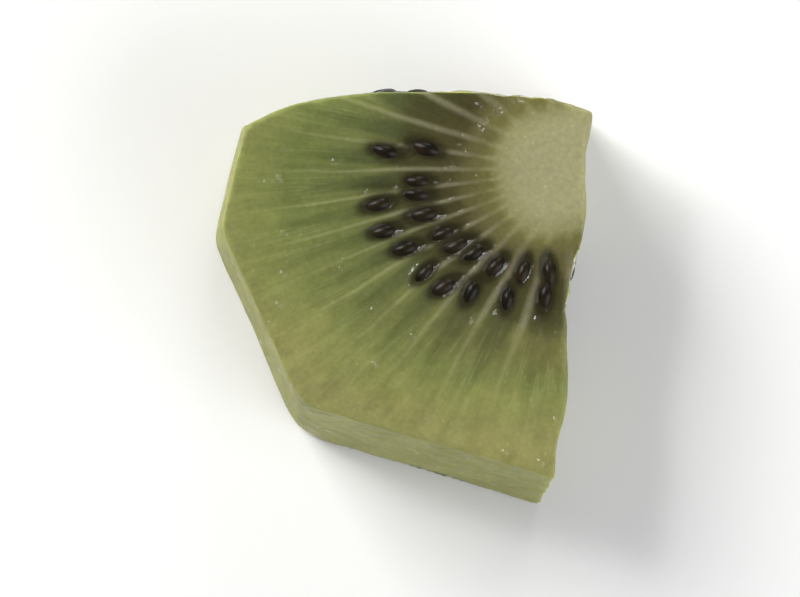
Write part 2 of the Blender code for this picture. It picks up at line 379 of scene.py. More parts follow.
points = at_points(kiwi, "co")
normals = at_points(kiwi, "normal")
out = ring_share(points)
relief = CORE_CROWN * (1 - smooth_step(*CROWN_EDGE, out))
relief -= SEED_HOLLOW * hump(out, *HOLLOW_REACH, HOLLOW_FADE)
relief += RIB * (smooth_step(*RIB_FLANK, wall_share(points)) - 0.5) * hump(out, *RIB_REACH, RIB_FADE)
amount = relief * on_faces(normals, CUT_FACES, CUT_BAND)
amount += SOFT_WAVE * waves(points, SOFT_WAVE_LENGTH)
amount += FINE_WAVE * waves(points, FINE_WAVE_LENGTH)
amount += TORN_EDGE * waves(points, TORN_EDGE_LENGTH) * on_edge(normals)
amount *= 1 - on_faces(normals, (-UP,), BASE_BAND)
move_points(kiwi, points + normals * amount[:, None])
print("relief from", round(float(relief.min() / MM), 2), "to", round(float(relief.max() / MM), 2), "mm")

# %% [markdown]
# ## A base to rest on
#
# The chunk lies on its lower cut, which is pressed flat by its own weight. One more bisect would take off a
# slice and leave a sharp rim. Instead all points next to the board are scaled to nothing in height, which
# leaves them exactly level and keeps the soft edge.

# %% Press the base flat
PRESSED = 0.15 * MM

edit_points(kiwi, lambda place: place.z < PRESSED)
bpy.ops.transform.resize(value=(1, 1, 0), center_override=(0, 0, 0))
done()
print("points on the board:", sum(vert.co.z == 0 for vert in kiwi.data.vertices))

# %% [markdown]
# ## Where the seeds lie
#
# A kiwi fruit has about thirty chambers, each with a double row of seeds stacked along the fruit. A
# crosswise cut meets one or two seeds in each chamber, with their points towards the core. The seeds could
# be set by eye, but then none would lie where the measured model has its bump. So their places come from
# the same rule as there, with the same small seeded shifts. Where a seed is missing from the cut, one lies
# just under it, and is only painted.

# %% Seeds of the upper cut
SEED_DRAW = 11
SEEDS_MISSING = 0.12
ANGLE_SHIFT = 0.03
ROW_SHIFT = 0.4 * MM
POINTING_SHIFT = 0.12


def shift(draw, most):
    """A small random shift to either side."""
    return draw.uniform(-most, most)


def chamber_angle(number):
    """The chambers are even along their oval ring, so they stand closer at its far ends."""
    even = 2 * math.pi * (number + 0.5) / CHAMBERS
    return math.atan2(RING_SHORT * math.sin(even), RING_LONG * math.cos(even)) + OVAL_TURN


def crosswise_seeds(draw, height, facing):
    """Seeds in a crosswise cut, as (place, way the blunt end points, way the cut faces, lies under)."""
    found = []
    for number in range(CHAMBERS):
        for share in SEED_ROWS:
            angle = chamber_angle(number) + shift(draw, ANGLE_SHIFT)
            radius = share * ring_radius(angle) + shift(draw, ROW_SHIFT)
            pointing = way(angle + shift(draw, POINTING_SHIFT))
            under = draw.random() < SEEDS_MISSING
            found.append((way(angle) * radius + UP * height, pointing, facing, under))
    return found


draw = random.Random(SEED_DRAW)
places = crosswise_seeds(draw, THICKNESS, UP)
print("seeds of a whole crosswise cut:", len(places))

# %% [markdown]
# A lengthwise cut meets two columns of seeds, an inner and an outer one, which lie to one side of the axis.
# The second column starts half a pitch above the first, so that each seed stands beside a gap of the other
# column. The cuts lean, so a seed's distance from the axis depends on its height.

# %% Seeds of the lengthwise cuts
SEED_PITCH_UP = 2.7 * MM
FIRST_SEED_UP = 0.6
COLUMN_STAGGER = 0.5
COLUMN_SHIFT = 0.35 * MM


def lengthwise_seeds(draw, stroke, turn):
    """Seeds in a lengthwise cut. They lie a quarter turn, left or right, from the way it faces."""
    angle, distance, lean = stroke
    outwards = angle + turn * math.pi / 2
    found = []
    for column, share in enumerate(SEED_ROWS):
        height = (FIRST_SEED_UP + COLUMN_STAGGER * column) * SEED_PITCH_UP
        while height < THICKNESS:
            level = height + shift(draw, COLUMN_SHIFT)
            reach = share * ring_radius(outwards) + shift(draw, COLUMN_SHIFT)
            under = draw.random() < SEEDS_MISSING
            place = way(angle) * (distance + (THICKNESS - level) * math.tan(lean)) + way(outwards) * reach
            found.append((place + UP * level, way(outwards), way(angle, lean), under))
            height += SEED_PITCH_UP
    return found


places += lengthwise_seeds(draw, RIGHT_CUT, -1) + lengthwise_seeds(draw, UPPER_CUT, 1)
print("with the lengthwise cuts:", len(places))

# %% [markdown]
# The rule gives the whole ring of a crosswise cut, of which the chunk has only a part. What lies outside it,
# or so near an edge that it would stick out over it, is dropped. The lower cut has seeds too, which are only
# painted, because it is pressed flat on the board.

# %% Keep the seeds that lie on the chunk
LOWER_SEED_DRAW = 12
KEPT_CLEAR = 1.3 * MM


def is_crosswise(facing):
    """True for the upper and the lower cut."""
    return abs(facing.z) > 0.9


def clear_of_edges(place, facing):
    """True for a seed that doesn't stick out over an edge of its cut face."""
    if not is_crosswise(facing):
        return KEPT_CLEAR < place.z < THICKNESS - KEPT_CLEAR
    cuts = (RIGHT_CUT, UPPER_CUT)
    return all(way(angle).dot(place) < distance - KEPT_CLEAR for angle, distance, lean in cuts)


places += crosswise_seeds(random.Random(LOWER_SEED_DRAW), 0.0, -UP)
places = [place for place in places if clear_of_edges(place[0], place[2])]
print("seeds kept:", len(places))

# %% [markdown]
# ## The seed
#
# A kiwi seed is a flattened drop, about 2.3 mm long, nearly black, with one end drawn out to a point. A
# cone has such a point, but its sides are straight. So a ball of length 1 is taken, its rings are narrowed
# one by one towards the pointed end, and it is then scaled to its three sizes.

# %% Model one seed
SEED_SIZE = Vector((2.3, 1.1, 1.5)) * MM
DRAWN_OUT = 0.45
DRAWN_SPAN = (0.1, 0.5)
SAME_RING = 0.001


def narrowing(share):
    """How much thinner the seed is at a share of its length, from -0.5 at the point to 0.5."""
    return 1 - DRAWN_OUT * float(smooth_step(*DRAWN_SPAN, np.array(-share)))


bpy.ops.object.select_all(action="DESELECT")
bpy.ops.mesh.primitive_uv_sphere_add(segments=18, ring_count=12, radius=0.5, rotation=(0, math.pi / 2, 0))
seed = bpy.context.object
seed.name = "seed_model"
bpy.ops.object.transform_apply(location=True, rotation=True, scale=True)
rings = sorted({round(vert.co.x, 4) for vert in seed.data.vertices if vert.co.x < 0})
for ring in rings:
    edit_points(seed, lambda place: abs(place.x - ring) < SAME_RING)
    thinner = narrowing(ring)
    bpy.ops.transform.resize(value=(1, thinner, thinner), center_override=(ring, 0, 0))
    done()
edit(seed)
bpy.ops.transform.resize(value=SEED_SIZE, center_override=(0, 0, 0))
done()
bpy.ops.object.shade_smooth()
print("one seed, mm:", [round(size / MM, 2) for size in seed.dimensions])

# %% [markdown]
# ## Seeds in their sockets
#
# A seed sits in the skin at its place, on edge in a crosswise cut and flat side out in a lengthwise one, and
# stands out of it a little. No two seeds are quite alike, so each is drawn a little larger or smaller and
# tilted. Place, turn and size together are one matrix, which is worked out for the painted seeds as well.

# %% Turn each seed into its socket
CROSSWISE_OUT = 0.30 * MM
LENGTHWISE_OUT = 0.25 * MM
CROSSWISE_SIZES = (1.00, 1.22)
LENGTHWISE_SIZES = (0.90, 1.10)
MOST_TILT = 0.16
VARIETY_DRAW = 23

variety = random.Random(VARIETY_DRAW)


def seed_turn(skin, pointing, facing):
    """The place, turn and size of a seed that stands out of the skin."""
    across = facing.cross(pointing).normalized()
    ahead = across.cross(facing)
    if is_crosswise(facing):
        axes = (ahead, across, facing)
        thick = SEED_SIZE.z
        stands_out = CROSSWISE_OUT
        sizes = CROSSWISE_SIZES
    else:
        axes = (ahead, facing, ahead.cross(facing))
        thick = SEED_SIZE.y
        stands_out = LENGTHWISE_OUT
        sizes = LENGTHWISE_SIZES
    size = variety.uniform(*sizes)
    tilt = Euler([shift(variety, MOST_TILT) for axis in range(3)]).to_matrix()
    centre = skin + facing * (stands_out - size * thick / 2)
    return Matrix.Translation(centre) @ (Matrix(axes).transposed() @ tilt * size).to_4x4()


def skin_at(place):
    """The point of the skin that is nearest to a place on the straight cut."""
    push = Vector(knife_sway(np.array([place]))[0])
    return kiwi.closest_point_on_mesh(place + push)[1]


sockets = []
for place, pointing, facing, under in places:
    sockets.append((seed_turn(skin_at(place), pointing, facing), facing, under))
print("sockets:", len(sockets))

# %% [markdown]
# Each seed that shows is a copy of the model with its own mesh, moved by its matrix. The copies are joined,
# because they are one kind of thing and one material, and the model has done its work and is removed.

# %% Set the seeds
copies = []
for turn, facing, under in sockets:
    if not under and facing != -UP:
        copy = bpy.data.objects.new("seed_copy", seed.data.copy())
        bpy.context.scene.collection.objects.link(copy)
        copy.data.transform(turn)
        copies.append(copy)
bpy.data.objects.remove(seed, do_unlink=True)
only(copies[0])
for copy in copies:
    copy.select_set(True)
bpy.ops.object.join()
seeds = bpy.context.object
seeds.name = "seeds"
print("seeds joined:", len(copies), "with", len(seeds.data.polygons), "faces")

# %% [markdown]
# ## Sockets and stains
#
# The clear jelly round a seed climbs its sides a little, and the seed's black shows through it as a soft
# dark halo. Both are worked out from the distance to the seed's outline, counted so that 1 is the outline
# itself. The halo could be a texture, but it has to sit exactly round each seed, so it is kept as a value
# on every point of the mesh, which the flesh material reads.

# %% Shape the sockets and work out the stains
CROSSWISE_MENISCUS = 0.10 * MM
LENGTHWISE_MENISCUS = 0.05 * MM
MENISCUS_BELL = (1.1, 0.35)
HALO_START = 0.9
HALO_WIDTH = 0.34
BURIED_STAIN = 0.7
BURIED_BELL = (0.0, 1.15)
PAINTED_EDGE = (0.72, 0.98)
STAIN_REACH = 3.2 * MM
SAME_FACE = 0.5


def outline_share(points, turn, facing):
    """Distance from a seed's middle, along the cut face, where 1 is the seed's outline."""
    inverse = np.array(turn.inverted())
    local = points @ inverse[:3, :3].T + inverse[:3, 3]
    wide = 1 if is_crosswise(facing) else 2
    return np.hypot(local[:, 0] / (SEED_SIZE.x / 2), local[:, wide] / (SEED_SIZE[wide] / 2))


def bell(distance, middle, width):
    """1 at the middle distance, falling off softly to both sides."""
    return np.exp(-(((distance - middle) / width) ** 2))


points = at_points(kiwi, "co")
normals = at_points(kiwi, "normal")
lift = np.zeros(len(points))
stain = np.zeros(len(points))
for turn, facing, under in sockets:
    near = np.flatnonzero(np.linalg.norm(points - np.array(turn.translation), axis=1) < STAIN_REACH)
    near = near[normals[near] @ np.array(facing) > SAME_FACE]
    distance = outline_share(points[near], turn, facing)
    if under:
        stain[near] = np.maximum(stain[near], BURIED_STAIN * bell(distance, *BURIED_BELL))
    elif facing == -UP:
        stain[near] = np.maximum(stain[near], 1 - smooth_step(*PAINTED_EDGE, distance))
    else:
        meniscus = CROSSWISE_MENISCUS if is_crosswise(facing) else LENGTHWISE_MENISCUS
        lift[near] = np.maximum(lift[near], meniscus * bell(distance, *MENISCUS_BELL))
        halo = bell(np.maximum(distance, HALO_START), HALO_START, HALO_WIDTH)
        stain[near] = np.maximum(stain[near], halo)
move_points(kiwi, points + normals * lift[:, None])
print("stained points:", int((stain > 0.1).sum()))

# %% [markdown]
# ## Into place
#
# Up to here the fruit's axis was the scene's own, which kept every formula simple. Now the chunk moves to
# where the measured model stands. Its mesh is moved and its object stays at the origin, so that a pattern
# that reads the object's coordinates stays where it is. The values for each point are stored on the mesh:
# the stains, and how far a point belongs to a crosswise cut, to the peeled side or to an edge.

# %% Move the chunk and store its values
FRUIT_AXIS = Vector((11.696, 8.958, 0.0)) * MM
CROSSWISE_BAND = (0.5, 0.9)
PEELED_BAND = (0.80, 0.97)


def store(thing, name, values):
    """Keeps one value for each point on the mesh, under a name."""
    attribute = thing.data.attributes.new(name, "FLOAT", "POINT")
    attribute.data.foreach_set("value", values.astype(np.float32))


normals = at_points(kiwi, "normal")
store(kiwi, "stain", stain)
store(kiwi, "crosswise", on_faces(normals, (UP, -UP), CROSSWISE_BAND))
store(kiwi, "peeled", on_faces(normals, PEEL_FACES, PEELED_BAND))
store(kiwi, "edge", on_edge(normals))
for thing in (kiwi, seeds):
    thing.data.transform(Matrix.Translation(FRUIT_AXIS))
    only(thing)
    bpy.ops.object.shade_smooth()
corners = (kiwi.bound_box[0], kiwi.bound_box[6])
print("chunk box, mm:", [[round(value / MM, 2) for value in corner] for corner in corners])

# %% [markdown]
# ## Material tools
#
# A material is a small machine of nodes. It could be put together by hand in the node editor, but written
# out it can be read and repeated. The first helper adds a node and joins its inputs. The next ones do sums
# on values, each of which may be a number or come out of another node.

# %% Helpers for sums


def node(tree, kind, feeds=None, **settings):
    """Adds one node. Settings are its own choices, and feeds are values or sockets for its inputs."""
    made = tree.nodes.new(kind)
    for name, value in settings.items():
        setattr(made, name, value)
    for name, value in (feeds or {}).items():
        if isinstance(value, bpy.types.NodeSocket):
            tree.links.new(value, made.inputs[name])
        else:
            made.inputs[name].default_value = value
    return made


def calc(tree, operation, *values):
    """One step of arithmetic."""
    return node(tree, "ShaderNodeMath", dict(enumerate(values)), operation=operation).outputs[0]


def product(tree, first, *others):
    """All the values multiplied."""
    for other in others:
        first = calc(tree, "MULTIPLY", first, other)
    return first


def layered(tree, start, *layers):
    """A start with patterns added to it, each given as (pattern, strength)."""
    for pattern, strength in layers:
        start = calc(tree, "MULTIPLY_ADD", pattern, strength, start)
    return start


def between(tree, share, none, full):
    """One value where the share is 0, the other where it is 1, and a mix where it lies between."""
    return calc(tree, "MULTIPLY_ADD", share, full - none, none)


def centred(tree, value):
    """A value from 0 to 1, counted from its middle."""
    return calc(tree, "SUBTRACT", value, 0.5)


def step_between(tree, low, high, value):
    """0 below low, 1 above high, and a soft step between them. It falls where low is the greater."""
    feeds = {"Value": value, "From Min": low, "From Max": high}
    return node(tree, "ShaderNodeMapRange", feeds, interpolation_type="SMOOTHSTEP").outputs[0]


def window(tree, rise, fall, value):
    """A step up and a step down again, each given as two values."""
    return product(tree, step_between(tree, *rise, value), step_between(tree, *fall, value))


def slope(tree, value, start, end):
    """A straight slope from one (place, height) to the next, and level beyond them."""
    feeds = {"Value": value, "From Min": start[0], "From Max": end[0], "To Min": start[1], "To Max": end[1]}
    return node(tree, "ShaderNodeMapRange", feeds).outputs[0]


def length_of(tree, first, second):
    """The length of a flat arrow that has these two parts."""
    arrow = node(tree, "ShaderNodeCombineXYZ", {0: first, 1: second}).outputs[0]
    return node(tree, "ShaderNodeVectorMath", {0: arrow}, operation="LENGTH").outputs["Value"]


print("tools for sums are ready")

# %% [markdown]
# The other helpers make colours and patterns. Noise gives soft clouds. Voronoi cells strew points through
# the solid, with a random number for each, and so make grains, dots and beads. Both fill space, so they
# meet without a seam wherever the knife went.

# %% Helpers for colours and patterns


def blend(tree, factor, first, second, way_of="MIX"):
    """The first colour, and more of the second the higher the factor is."""
    feeds = {0: factor, 6: first, 7: second}
    return node(tree, "ShaderNodeMix", feeds, data_type="RGBA", blend_type=way_of).outputs[2]


def ramp(tree, factor, stops):
    """A colour ramp from (position, colour) stops."""
    made = node(tree, "ShaderNodeValToRGB", {0: factor})
    made.color_ramp.interpolation = "EASE"
    elements = made.color_ramp.elements
    while len(elements) < len(stops):
        elements.new(1.0)
    for element, (position, colour) in zip(elements, stops):
        element.position = position
        element.color = (*colour, 1.0)
    return made.outputs[0]


def speckle(tree, vector, scale, detail=2.0, roughness=0.5):
    """Cloudy noise from 0 to 1."""
    feeds = {"Vector": vector, "Scale": scale, "Detail": detail, "Roughness": roughness}
    return node(tree, "ShaderNodeTexNoise", feeds).outputs[0]


def strewn(tree, vector, scale, channel):
    """Points strewn through the solid: how far off the nearest is, and its own number from 0 to 1."""
    points = node(tree, "ShaderNodeTexVoronoi", {"Vector": vector, "Scale": scale})
    numbers = node(tree, "ShaderNodeSeparateColor", {0: points.outputs["Color"]})
    return points.outputs["Distance"], numbers.outputs[channel]


def stored(tree, name):
    """The value that was stored on the mesh under a name."""
    return node(tree, "ShaderNodeAttribute", attribute_name=name).outputs["Fac"]


def bumps(tree, height, strength, depth):
    """Normals that lean as if the surface had this height."""
    feeds = {"Height": height, "Strength": strength, "Distance": depth}
    return node(tree, "ShaderNodeBump", feeds).outputs[0]


def new_material(name):
    """A material with its tree of nodes and the shader that gives the surface."""
    made = bpy.data.materials.new(name)
    made.use_nodes = True
    return made, made.node_tree, made.node_tree.nodes["Principled BSDF"]


def set_finish(surface, finish):
    """Sets what is the same all over on the shader's own sockets."""
    for name, value in finish.items():
        surface.inputs[name].default_value = value


def cover(thing, material):
    """Gives an object one material."""
    thing.data.materials.clear()
    thing.data.materials.append(material)


print("tools for patterns are ready")

# %% [markdown]
# ## The flesh and the core
#
# Cut kiwi flesh isn't one green. Going out from the axis there is the cream core, a glassy olive rim, the
# grey-brown of the seed chambers, dark green jelly, and then paler yellow-green flesh. Going round, pale
# walls part the chambers and run out as rays. Each face could be painted as a flat picture, but the faces
# would not agree at the edges. So all of it is one pattern through the whole solid, read from the place in
# the fruit, and the top, the sides and the peeled strokes agree wherever they meet.
#
# The nodes below turn the object's coordinates to the fruit's axis in millimetres, and then work out how
# far out a place is. The dark zone round the seeds is nearly a circle, and further out the zones take on
# the fruit's own oval, so there are two such shares, and one passes into the other. The core is a small
# oval with blunt corners.

# %% Place in the fruit, as nodes
SEED_ZONE = (8.8, 8.2)
FLESH_ZONE = (9.8, 7.0)
ZONE_CHANGE = (1.3, 2.2)
CORE_RADII = (4.75, 4.0)
CORE_SQUARENESS = 2.8

flesh, tree, surface = new_material("kiwi_flesh")
here = node(tree, "ShaderNodeTexCoord").outputs["Object"]
feeds = {"Vector": here, "Location": FRUIT_AXIS, "Rotation": (0, 0, OVAL_TURN), "Scale": (MM, MM, MM)}
turned = node(tree, "ShaderNodeMapping", feeds, vector_type="TEXTURE").outputs[0]
parts = node(tree, "ShaderNodeSeparateXYZ", {0: turned}).outputs
drift = centred(tree, speckle(tree, turned, scale=0.35, detail=3.0))
along = calc(tree, "DIVIDE", parts[0], RING_LONG / MM)
across = calc(tree, "DIVIDE", parts[1], RING_SHORT / MM)
far_out = length_of(tree, along, across)


def oval_share(tree, parts, radii):
    """How far out a place is, as a share of an oval that has these two radii."""
    return length_of(tree, *[calc(tree, "DIVIDE", part, radius) for part, radius in zip(parts, radii)])


seed_zone = oval_share(tree, parts, SEED_ZONE)
flesh_zone = oval_share(tree, parts, FLESH_ZONE)
outside = step_between(tree, *ZONE_CHANGE, seed_zone)
zone_share = layered(tree, seed_zone, (calc(tree, "SUBTRACT", flesh_zone, seed_zone), outside))
powers = []
for part, radius in zip(parts, CORE_RADII):
    share = calc(tree, "ABSOLUTE", calc(tree, "DIVIDE", part, radius))
    powers.append(calc(tree, "POWER", share, CORE_SQUARENESS))
core_share = calc(tree, "POWER", calc(tree, "ADD", *powers), 1 / CORE_SQUARENESS)
print("nodes for the distance out:", len(tree.nodes))

# %% [markdown]
# The angle round the fruit is counted from the side that is missing, so that its jump from one end of the
# count to the other falls outside the chunk and leaves no seam in the pattern. Slow noise is added to it,
# so that the walls wander a little and no chamber is quite like the next. Counted in chambers it gives 0 in
# the middle of one and 1 on its wall, as the array above does, and from that comes the distance to the wall
# in millimetres.

# %% Chambers and walls, as nodes
WALL_BEND = 0.12
WALL_WOBBLE = 0.022

round_angle = calc(tree, "ARCTAN2", product(tree, across, -1.0), product(tree, along, -1.0))
bend = centred(tree, speckle(tree, turned, scale=0.08, detail=1.0))
wandering = layered(tree, round_angle, (drift, WALL_WOBBLE), (bend, WALL_BEND))
chamber = calc(tree, "FRACT", product(tree, wandering, CHAMBERS / (2 * math.pi)))
wall = product(tree, calc(tree, "ABSOLUTE", centred(tree, chamber)), 2.0)
off_wall = product(tree, calc(tree, "SUBTRACT", 1.0, wall), math.pi / CHAMBERS)
from_wall = product(tree, off_wall, length_of(tree, parts[0], parts[1]))
crosswise = stored(tree, "crosswise")
peeled = stored(tree, "peeled")
print("place nodes:", len(tree.nodes))

# %% [markdown]
# The colours are ramps over the distance out: one for the tissue, one for the jelly in the chambers, one
# for the pale rays along their walls and one for the core. A stop stands at a share of the zones above, in
# which the seeds begin near 1, and the distance drifts a little, so that no zone ends in a true oval.

# %% Colours from the core to the peeled side
RAMP_REACH = 3.2
ZONE_DRIFT = 0.22
# The tissue colour falls off a little from 2.60 to 3.10: painted shade along the chunk's outer edge.
TISSUE_STOPS = (
    (0.00, (0.150, 0.140, 0.050)),
    (0.64, (0.144, 0.134, 0.047)),
    (0.80, (0.116, 0.107, 0.042)),
    (0.96, (0.094, 0.086, 0.035)),
    (1.30, (0.092, 0.094, 0.034)),
    (1.55, (0.134, 0.148, 0.050)),
    (1.95, (0.172, 0.192, 0.062)),
    (2.20, (0.224, 0.236, 0.077)),
    (2.60, (0.260, 0.253, 0.094)),
    (3.10, (0.250, 0.240, 0.092)),
)
JELLY_STOPS = (
    (0.72, (0.105, 0.097, 0.038)),
    (0.92, (0.064, 0.057, 0.021)),
    (1.28, (0.062, 0.060, 0.022)),
    (1.50, (0.084, 0.097, 0.035)),
    (1.75, (0.112, 0.132, 0.042)),
    (2.15, (0.150, 0.172, 0.055)),
)
RAY_STOPS = (
    (0.60, (0.165, 0.152, 0.066)),
    (0.95, (0.176, 0.160, 0.102)),
    (1.30, (0.196, 0.186, 0.115)),
    (1.55, (0.214, 0.220, 0.102)),
    (1.90, (0.246, 0.260, 0.102)),
    (2.40, (0.262, 0.274, 0.098)),
)
CORE_STOPS = (
    (0.00, (0.328, 0.312, 0.171)),
    (0.65, (0.324, 0.308, 0.168)),
    (1.10, (0.256, 0.244, 0.115)),
)


def ramp_over(tree, share, stops):
    """A ramp whose stops are given as shares of the zones, or of the core."""
    scaled = calc(tree, "DIVIDE", share, RAMP_REACH)
    return ramp(tree, scaled, [(at / RAMP_REACH, colour) for at, colour in stops])


unsteady = layered(tree, zone_share, (drift, ZONE_DRIFT))
tissue = ramp_over(tree, unsteady, TISSUE_STOPS)
jelly = ramp_over(tree, unsteady, JELLY_STOPS)
ray = ramp_over(tree, unsteady, RAY_STOPS)
heart = ramp_over(tree, core_share, CORE_STOPS)
print("colour ramps:", sum(item.bl_idname == "ShaderNodeValToRGB" for item in tree.nodes))

# %% [markdown]
# Then each colour gets its place. A chamber is widest where its seeds are and runs out to a point in the
# flesh. A ray is a thin line on the wall. Its width is in millimetres, because a share of the angle would
# grow as it runs outwards, and a real ray even gets a little finer. Both show less on a lengthwise cut,
# where the knife meets the walls at a slant. The core's edge is ragged, with a short spike along each wall.

# %% Put the colours in their places
CHAMBER_TAPER = ((1.30, 0.80), (2.05, 0.10))
CHAMBER_EDGE = (0.18, -0.26)
CHAMBER_RISE = (0.74, 0.97)
CHAMBER_FALL = (2.40, 1.65)
RAY_WIDTH = ((1.15, 0.36), (2.10, 0.24))
RAY_MIDDLE = 0.02
RAY_RISE = (0.52, 0.80)
RAY_FALL = (2.75, 1.60)
SPIKE_FLANK = (0.30, 1.0)
SPIKE = -0.17
CORE_DRIFT = 0.24
CORE_EDGE = (1.22, 0.96)

over_edge = calc(tree, "SUBTRACT", wall, slope(tree, unsteady, *CHAMBER_TAPER))
reach = window(tree, CHAMBER_RISE, CHAMBER_FALL, unsteady)
clearness = between(tree, crosswise, 0.65, 1.0)
in_chamber = product(tree, step_between(tree, *CHAMBER_EDGE, over_edge), reach, clearness)
painted = blend(tree, in_chamber, tissue, jelly)

reach = window(tree, RAY_RISE, RAY_FALL, unsteady)
clearness = between(tree, crosswise, 0.20, 0.82)
on_ray = step_between(tree, slope(tree, unsteady, *RAY_WIDTH), RAY_MIDDLE, from_wall)
ray_line = product(tree, on_ray, reach, clearness)
painted = blend(tree, ray_line, painted, ray)

spike = product(tree, step_between(tree, *SPIKE_FLANK, wall), speckle(tree, turned, scale=0.6))
ragged_core = layered(tree, core_share, (spike, SPIKE), (drift, CORE_DRIFT))
in_core = step_between(tree, *CORE_EDGE, ragged_core)
painted = blend(tree, in_core, painted, heart)
print("nodes so far:", len(tree.nodes))

# %% [markdown]
# Finer still, the flesh is made of long cells that point outwards, and thin pale veins run the same way. On
# the peeled side they are met end on and leave only a grain. A wave texture could draw them, but far too
# evenly, so it is noise, stretched in the fruit's own directions: each set of scales says how fine it is
# round the fruit, outwards and lengthwise. A vein is the line along which the noise passes through its
# middle value, and it shows on the crosswise cuts alone. The core has strands of its own, which run
# lengthwise.

# %% Fibres, veins and strands
FIBRES = (24.0, 2.6, 1.0)
FLESH_COMES_IN = (0.50, 1.10)
VEINS = (20.0, 0.55, 0.5)
VEIN_WIDTH = 0.030
VEINS_COME_IN = (1.45, 1.80)
PALE_VEIN = (0.300, 0.330, 0.150, 1.0)
VEIN_TINT = 0.20
STRANDS = (2.2, 2.2, 0.12)


def streaks(tree, scales, detail):
    """Noise round 0 with scales of its own round the fruit, outwards and lengthwise."""
    places = zip((round_angle, far_out, parts[2]), scales)
    stretched = dict(enumerate([product(tree, place, scale) for place, scale in places]))
    vector = node(tree, "ShaderNodeCombineXYZ", stretched).outputs[0]
    return centred(tree, speckle(tree, vector, scale=1.0, detail=detail, roughness=0.6))


in_flesh = product(tree, step_between(tree, *FLESH_COMES_IN, far_out), between(tree, peeled, 1.0, 0.25))
fibres = product(tree, streaks(tree, FIBRES, detail=4.0), in_flesh)
off_vein = calc(tree, "ABSOLUTE", streaks(tree, VEINS, detail=2.0))
on_vein = step_between(tree, VEIN_WIDTH, 0.0, off_vein)
vein = product(tree, on_vein, step_between(tree, *VEINS_COME_IN, far_out), crosswise, VEIN_TINT)
painted = blend(tree, vein, painted, PALE_VEIN)
upright = node(tree, "ShaderNodeVectorMath", {0: turned, 1: STRANDS}, operation="MULTIPLY").outputs[0]
strands = product(tree, centred(tree, speckle(tree, upright, scale=1.0, detail=3.0)), in_core)
print("nodes with the veins:", len(tree.nodes))

# %% [markdown]
# The flesh isn't alike all over. Towards one side of the fruit the outer flesh is painted a darker, deeper
# green:
# painted shade. On the other side a veil lies just beyond the seeds: the flesh is browned there, and riper
# and yellower next to the right-hand cut, with a few such spots further out. The peeled strokes show the
# outermost flesh, which is yellower still and has no rays. One ramp couldn't tell one side from the other,
# so each tint is blended in by a share of its own. A side is given as two places across the fruit, in
# millimetres, between which the tint comes in.

# %% Shade, ripeness and the peeled side
PAINTED_SHADE_FLESH = (0.057, 0.091, 0.023, 1.0)
PAINTED_SHADE_SIDE = (-9.0, 4.0)
SHADE_COMES_IN = (1.5, 2.2)
SHADE_TINT = 0.30
PEELED_FLESH = (0.266, 0.272, 0.084, 1.0)
PEELED_TINT = 0.85
RIPER_FLESH = (0.265, 0.222, 0.078, 1.0)
RIPE_CLOUDS = (0.50, 0.68)
SPOTS_COME_IN = (1.6, 2.2)
SPOTTED_SIDE = (5.0, -5.0)
SPOT_TINT = 0.16
BROWNED_FLESH = (0.102, 0.078, 0.030, 1.0)
VEIL_RISE = (1.25, 1.55)
VEIL_FALL = (2.10, 1.62)
VEILED_SIDE = (-2.0, -11.0)
VEIL_TINT = 0.30
NEAR_CUT = (-8.0, -5.5)

# painted shade: the outer flesh is darker and greener towards one side of the fruit
on_side = step_between(tree, *PAINTED_SHADE_SIDE, parts[1])
painted_shade = product(tree, on_side, step_between(tree, *SHADE_COMES_IN, zone_share), SHADE_TINT)
painted = blend(tree, painted_shade, painted, PAINTED_SHADE_FLESH)
painted = blend(tree, product(tree, peeled, PEELED_TINT), painted, PEELED_FLESH)

clouds = step_between(tree, *RIPE_CLOUDS, speckle(tree, turned, scale=0.24, detail=2.0))
on_side = step_between(tree, *SPOTTED_SIDE, parts[1])
spots = product(tree, clouds, SPOT_TINT, step_between(tree, *SPOTS_COME_IN, zone_share), on_side)
on_side = step_between(tree, *VEILED_SIDE, parts[1])
veil = product(tree, window(tree, VEIL_RISE, VEIL_FALL, zone_share), on_side, VEIL_TINT)
near_cut = step_between(tree, *NEAR_CUT, parts[0])
riper = calc(tree, "MAXIMUM", spots, product(tree, veil, near_cut))
painted = blend(tree, riper, painted, RIPER_FLESH)
browned = product(tree, veil, calc(tree, "SUBTRACT", 1.0, near_cut))
painted = blend(tree, browned, painted, BROWNED_FLESH)
print("nodes with the tints:", len(tree.nodes))

# %% [markdown]
# A grain of small cells lies over everything, with a pale dot here and there where a cell is full of
# crystals. Slow patches and, in the outer flesh, small mottles are lighter or darker, and an edge is a
# little lighter where light comes through it. The peeled side has the long faint marks of the blade. All
# of these only change how light the flesh is, so they are added up to one factor that the colour is
# multiplied by. The stains round the seeds come last, over everything.

# %% Grain, dots, patches and stains
GRAIN_SCALE = 3.4
GRAIN_MIDDLE = 0.42
DOT_SCALE = 2.1
DOT_SIZE = (0.34, 0.12)
DOTS_CHOSEN = (0.55, 0.95)
BLADE_MARKS = (9.0, 1.0, 0.05)
LONG_GRAIN = (34.0, 1.0, 0.10)
STAINED = (0.022, 0.019, 0.008, 1.0)
STAIN_TINT = 0.88

